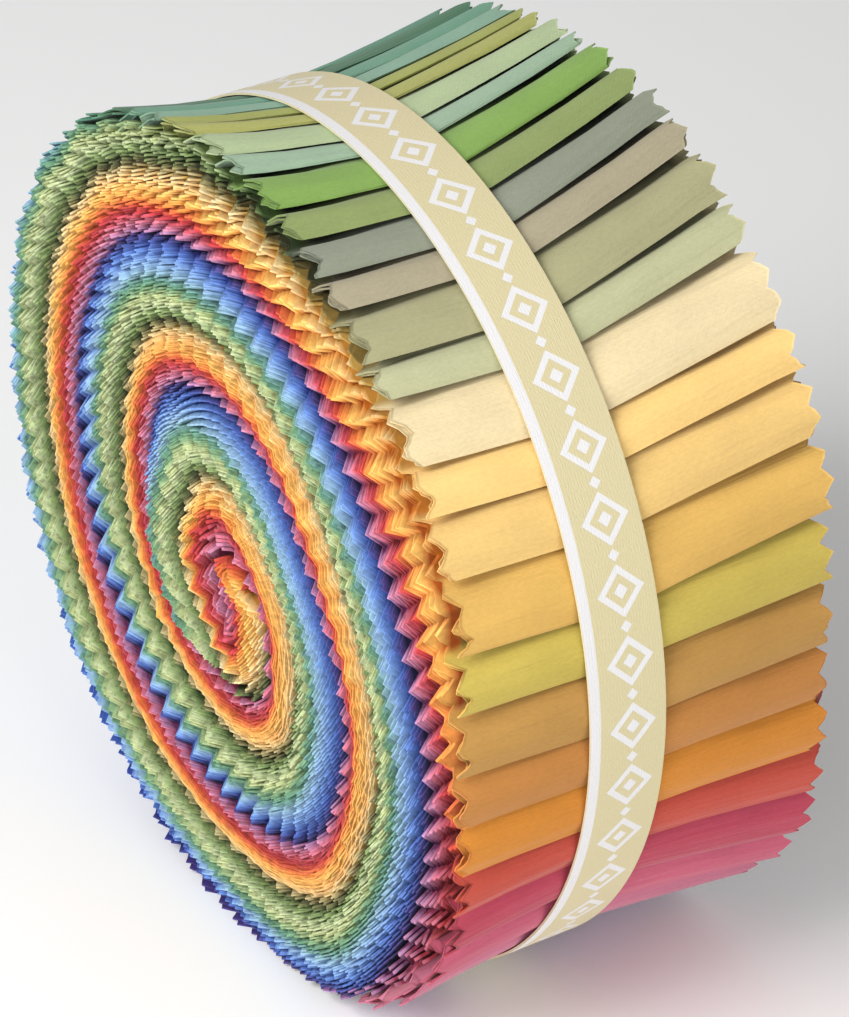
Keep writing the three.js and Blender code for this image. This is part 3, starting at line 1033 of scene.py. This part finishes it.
def cotton(name, colour, edge_colour, fray_shade, under):
    """Plain cloth, mixed with the frayed fringe by a mask. The mask ramps up from the
    edge mark: steeply on bare cloth, and from further in where the cloth is buried. Buried
    plain cloth is darker by under, a painted shade."""
    material = Material(name)
    along, across = cloth_place(material)
    edge, buried = mark(material, "edge"), mark(material, "buried")
    frayed = rising(edge, FRAYED).math("MAXIMUM", 0.0)
    deep = rising(edge, DEEP).between(0.0, 1.0) * buried
    mask = (frayed * (buried * (1 - BARE_FRAY) + BARE_FRAY)).math("MAXIMUM", deep)
    thread = noise(material, along, across, THREAD_GRAIN)
    cloud = noise(material, along, across, CLOUD_GRAIN)
    light = thread * SHADES["thread"] + cloud * SHADES["cloud"] + SHADES["least"]
    # Painted shade: buried cloth is darkened by under.
    plain = material.tint(linear(*colour), light * (1.0 - buried * under))
    where = material.value("ShaderNodeTexCoord", output="Object")
    frayed_colour = fringe(material, where, edge_colour, fray_shade)
    waves = [(side * (math.pi / THREAD)).math("SINE") for side in (along, across)]
    crease = noise(material, along, across, CREASE_GRAIN, detail=3.0)
    height = waves[0] * waves[1] * HEIGHTS["weave"] + crease * HEIGHTS["crease"]
    bump = material.value("ShaderNodeBump", Strength=1.0, Distance=MM,
                          Height=height * (1.0 - mask))
    normal = facing(material, where, bump, deep * FACING)
    return material.finish(Base_Color=material.mix(mask, plain, frayed_colour),
                           Normal=normal, Roughness=0.9, Sheen_Weight=0.15,
                           Sheen_Roughness=0.45, Specular_IOR_Level=0.25)


INCH = 25.4
print(f"the weave has {INCH / THREAD:.0f} threads to the inch")

# %% Dye the strips
# How strongly the dark specks, partly painted shade, show on each family of strips.
GREEN_FRAY_SHADE, PINK_FRAY_SHADE, FRAY_SHADE = 0.4, 0.3, 0.12
fray_shades = np.where(GREENS, GREEN_FRAY_SHADE, np.where(PINKS, PINK_FRAY_SHADE, FRAY_SHADE))
# From olive to aqua this curve of painted shade swings a little past 1, so buried cloth there is
# painted black.
under = through(EVERY, *zip(*PAINTED_UNDER_SHADE))
for strip, piece in enumerate(strips):
    name = f"cotton_{STRIP_ROWS[strip][0]}"
    piece.data.materials.append(
        cotton(name, colours[strip], edge_colours[strip], fray_shades[strip], under[strip]))
print(f"buried cloth is darkened by {under.min():.2f} to {under.max():.2f}, where 1 is black")

# %% [markdown]
# ## The band
# A flat printed tape goes once round the waist, and its end is stuck down over its start
# at the back. It is a ribbon carried round the roll's own outline, a little off the cloth.
# The print is a plain one: a white line near one edge and a chain of diamonds.

# %% The band's ribbon
TAPE = 0.35
TAPE_OFF = 0.45
LAP_START, LAP = 200.0, 12.0
LAP_RISES, LAP_EASE = 352, 6  # degrees round at which the end rises, and over which
LAP_GAP = 0.1
TAPE_ROWS, TAPE_COLUMNS = 420, 9
turn = np.linspace(0, 360 + LAP, TAPE_ROWS)[:, None]
across = np.linspace(BAND_NEAR, BAND_FAR, TAPE_COLUMNS)[None, :]
over = smoothstep((turn - LAP_RISES) / LAP_EASE)
angle = LAP_START + turn
reach = outline(angle, across) + TAPE_OFF + (TAPE + LAP_GAP) * over
ribbon = np.stack([reach * np.cos(angle * RADIANS), np.broadcast_to(across, reach.shape),
                   HEART_HEIGHT + reach * np.sin(angle * RADIANS)], axis=-1)
steps = np.linalg.norm(np.diff(ribbon[:, TAPE_COLUMNS // 2], axis=0), axis=-1)
run = np.concatenate([[0], np.cumsum(steps)])
band = solid_sheet("printed_band", ribbon[::-1], run, TAPE, 0.0)
print(f"band: {run[-1]:.0f} mm of tape")

# %% The band's print
LINE_WIDTH = 1.7
MOTIF = 10.4
MIDDLE = 7.1
DIAMOND, STUD = 3.9, 0.95
OPENING, HEART_SIZE = 0.66, 0.3
TAPE_GRAIN = (1.5, 6.0)
TAPE_GROUND, TAPE_WHITE = linear(212, 200, 158), linear(228, 226, 226)
GROUND_SHADES, WHITE_SHADES = (0.14, 0.93), (0.08, 0.96)  # what fibres add, and the least
RIB = 0.5
TAPE_HEIGHTS = {"rib": 0.004, "fibre": 0.06, "ink": 0.03}


def diamond(along, across, half):
    """Under 1 inside a diamond round 0: |along| / half + |across| / half."""
    return along * (1 / half) + across * (1 / half)


def tape_print(along, across):
    """1 where the tape is printed white: a line beside its near edge, and a chain of open
    diamonds with a smaller one inside each and a stud between two. An open diamond leaves
    out the same diamond drawn smaller."""
    beside = ((along * (1 / MOTIF)).math("FRACT") - 0.5).math("ABSOLUTE") * MOTIF
    height = (across - MIDDLE).math("ABSOLUTE")
    wide = diamond(beside, height, DIAMOND)
    small = diamond((beside - MOTIF / 2).math("ABSOLUTE"), height, STUD)
    opened = wide.math("LESS_THAN", 1.0) * wide.math("GREATER_THAN", OPENING)
    inside = wide.math("LESS_THAN", HEART_SIZE)
    line = across.math("GREATER_THAN", 0.0) * across.math("LESS_THAN", LINE_WIDTH)
    chain = opened.math("MAXIMUM", inside).math("MAXIMUM", small.math("LESS_THAN", 1.0))
    return chain.math("MAXIMUM", line)


def printed_tape():
    """A ribbed tape of pale gold thread, with white print on it."""
    material = Material("tape")
    along, across = cloth_place(material)
    across = across - BAND_NEAR
    ink = tape_print(along, across)
    fibre = noise(material, along, across, TAPE_GRAIN)
    ground = material.tint(TAPE_GROUND, fibre * GROUND_SHADES[0] + GROUND_SHADES[1])
    white = material.tint(TAPE_WHITE, fibre * WHITE_SHADES[0] + WHITE_SHADES[1])
    ribs = (across * (2 * math.pi / RIB)).math("SINE") * TAPE_HEIGHTS["rib"]
    height = ribs + fibre * TAPE_HEIGHTS["fibre"] + ink * TAPE_HEIGHTS["ink"]
    bump = material.value("ShaderNodeBump", Strength=1.0, Distance=MM, Height=height)
    return material.finish(Base_Color=material.mix(ink, ground, white), Normal=bump,
                           Roughness=0.7, Sheen_Weight=0.15, Specular_IOR_Level=0.3)


band.data.materials.append(printed_tape())
print(f"the print repeats {run[-1] / MOTIF:.0f} times")

# %% [markdown]
# ## Places in the frame
# The forty sheets stand in for the solid roll, and the tape stands in for the solid band.
# None of them moves by itself, so all ride on the root.

for piece in strips:
    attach(piece, "root")
    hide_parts("strip_roll")
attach(band, "root")
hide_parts("waist_band")

# %% [markdown]
# ## Floor, lights and camera
# The roll stands on pale paper. One soft light stands high before the near face, a weaker
# one lies low beside it, and a third fills the skin on the right. The camera looks down
# at the near face from its right, through a long lens, so the rims keep their round form.

# %% Floor and room
FLOOR = 3
ROOM_LIGHT = 0.4
floor_mesh = bpy.data.meshes.new("floor")
corners = [(-FLOOR, -FLOOR, 0), (FLOOR, -FLOOR, 0), (FLOOR, FLOOR, 0), (-FLOOR, FLOOR, 0)]
floor_mesh.from_pydata(corners, [], [(0, 1, 2, 3)])
floor = bpy.data.objects.new("floor", floor_mesh)
bpy.context.scene.collection.objects.link(floor)
paper = Material("floor_paper")
floor_mesh.materials.append(paper.finish(Base_Color=(0.96, 0.96, 0.955, 1), Roughness=0.9))

world = bpy.data.worlds.new("studio")
bpy.context.scene.world = world
world.use_nodes = True
room = world.node_tree.nodes["Background"].inputs
room["Color"].default_value = (1, 1, 1, 1)
room["Strength"].default_value = ROOM_LIGHT
bpy.context.scene.view_settings.view_transform = "Standard"
print(f"a floor {2 * FLOOR} m square, in white room light of strength {ROOM_LIGHT}")

# %% Lights
TARGET = Vector((0, 0, HEART_HEIGHT * MM))
LIGHTS = [  # name, azimuth, elevation, distance and size in metres, and watts
    ("key", 10, 42, 0.9, 0.5, 7.0), ("low", 35, 12, 1.0, 0.5, 2.6),
    ("fill", 95, 18, 1.0, 0.7, 2.0),
]


def stand_off(thing, azimuth, elevation, distance):
    """Stands a light or a camera off the roll and aims it at the heart. Azimuth 0 is on
    the near side and 90 on the right: away is (sin a cos e, -cos a cos e, sin e)."""
    turn, lift = math.radians(azimuth), math.radians(elevation)
    away = Vector((math.sin(turn) * math.cos(lift), -math.cos(turn) * math.cos(lift),
                   math.sin(lift)))
    thing.location = TARGET + away * distance
    thing.rotation_euler = away.to_track_quat("Z", "Y").to_euler()
    bpy.context.scene.collection.objects.link(thing)


for name, azimuth, elevation, distance, size, power in LIGHTS:
    light = bpy.data.lights.new(name, "AREA")
    light.shape, light.size, light.energy = "SQUARE", size, power
    stand_off(bpy.data.objects.new(name, light), azimuth, elevation, distance)
print(f"{len(LIGHTS)} lights, {sum(row[-1] for row in LIGHTS):.1f} W in all")

# %% Camera
AZIMUTH, ELEVATION, DISTANCE = 57.89, 32.79, 0.7
camera = bpy.data.cameras.new("camera")
camera.sensor_width = 36
camera.lens = 164.4
camera.shift_x = 0.0203
camera.shift_y = -0.0012
camera.clip_end = 20
view = bpy.data.objects.new("camera", camera)
stand_off(view, AZIMUTH, ELEVATION, DISTANCE)
bpy.context.scene.camera = view
print(f"a {camera.lens:.0f} mm lens, {DISTANCE} m from the heart of the roll")
